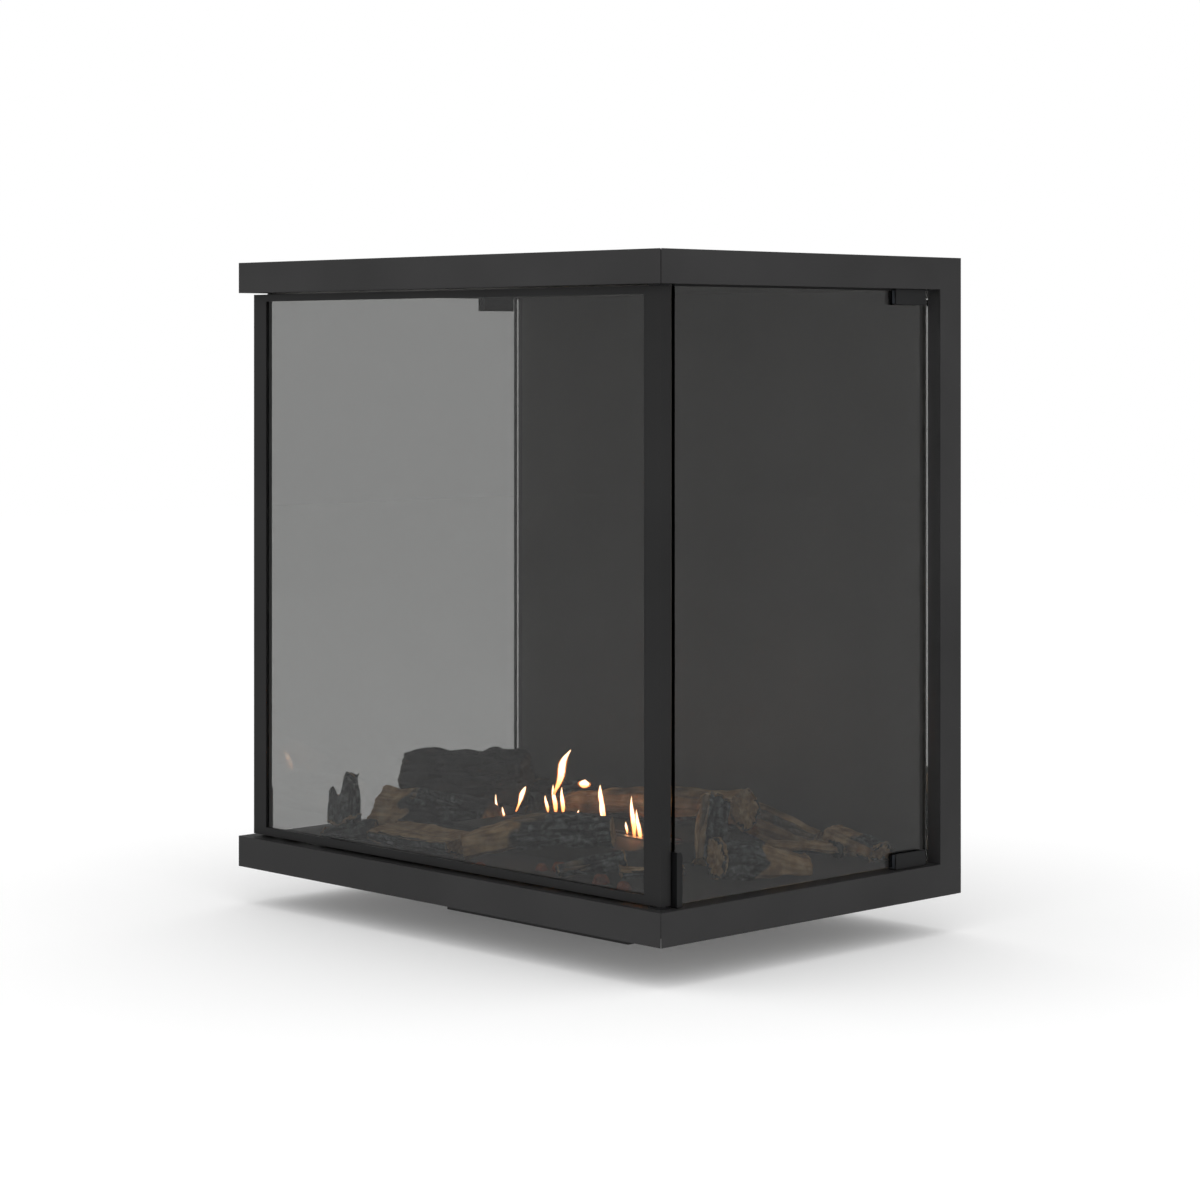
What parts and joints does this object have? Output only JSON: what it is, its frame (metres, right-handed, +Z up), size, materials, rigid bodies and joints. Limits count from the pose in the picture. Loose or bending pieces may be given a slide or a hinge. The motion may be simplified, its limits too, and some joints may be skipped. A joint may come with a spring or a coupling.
{
  "type": "three-sided fireplace",
  "caption": "Black steel three-sided fireplace with a hinged glass door, frameless side panes, a solid back, a burner box underneath and a bed of ceramic logs.",
  "frame": {"origin": "centre of the underside of the burner box, on the vertical centre line of the cabinet", "axes": "+Z up, the door faces -Y, +X to the right seen from the front"},
  "size_m": [0.795, 0.533, 0.849],
  "materials": {
    "black_coat": "fine satin black powder coat",
    "door_coat": "satin black powder coat",
    "inner_black": "heat-proof matt dark grey paint",
    "plain_steel": "brushed stainless",
    "clip_steel": "satin black",
    "grey_pad": "matt bluish grey",
    "black_seal": "matt black",
    "clear_glass": "clear polished heat-proof glass with a faint tint",
    "brass_washer": "plain turned",
    "magnet_black": "matt black",
    "mineral_board": "pressed mineral fibre",
    "log_bark": "matt, moulded bark with charred patches",
    "log_split_face": "matt, moulded split grain",
    "ember_chip": "matt red-brown"
  },
  "bodies": {
    "cabinet": {"back_liner": "inner_black", "base_plate": "inner_black", "branch_front_right": "log_bark", "branch_right": "log_split_face", "burner_deck": "inner_black", "burner_housing": "black_coat", "burner_tank": "plain_steel", "burner_throat": "plain_steel", "catch_magnet": "magnet_black", "ceiling_plate": "inner_black", "clip_pads": "grey_pad", "countersunk_screws": "plain_steel", "crossmembers": "black_coat", "ember_chips": "ember_chip", "front_bottom_band": "black_coat", "front_top_band": "black_coat", "glass_top_seals": "black_seal", "insulation_board": "mineral_board", "log_back_centre": "log_bark", "log_back_left_round": "log_bark", "log_back_long": "log_split_face", "log_back_right": "log_bark", "log_corner_right": "log_bark", "log_front_centre": "log_bark", "log_front_left": "log_split_face", "log_front_right": "log_bark", "log_leaning_right": "log_bark", "log_left_low": "log_bark", "log_left_split": "log_split_face", "log_right": "log_bark", "pivot_bracket_bottom": "plain_steel", "pivot_bracket_top": "plain_steel", "pivot_washer": "brass_washer", "rear_bottom_tube": "black_coat", "rear_clips_bottom": "clip_steel", "rear_clips_top": "clip_steel", "rear_cover": "black_coat", "rear_cover_rails": "black_coat", "rear_post_left": "black_coat", "rear_post_right": "black_coat", "rear_top_tube": "black_coat", "side_bottom_tube_left": "black_coat", "side_bottom_tube_right": "black_coat", "side_glass_left": "clear_glass", "side_glass_right": "clear_glass", "side_top_tube_left": "black_coat", "side_top_tube_right": "black_coat", "stump_left": "log_split_face", "top_cover": "black_coat", "upright_clips": "clip_steel"},
    "door": {"door_post_right": "door_coat", "door_stile_left": "door_coat", "door_rail_bottom": "door_coat", "door_rail_top": "door_coat", "door_glass": "clear_glass", "glazing_tape": "black_seal", "glazing_beads": "door_coat", "door_end_blocks": "plain_steel", "catch_strike": "plain_steel"}
  },
  "joints": [
    {"name": "door_hinge", "type": "hinge", "parent": "cabinet", "child": "door", "pos_m": [0.377, -0.245, 0.449], "axis": [0, 0, 1], "range_deg": [0, 100]}
  ]
}
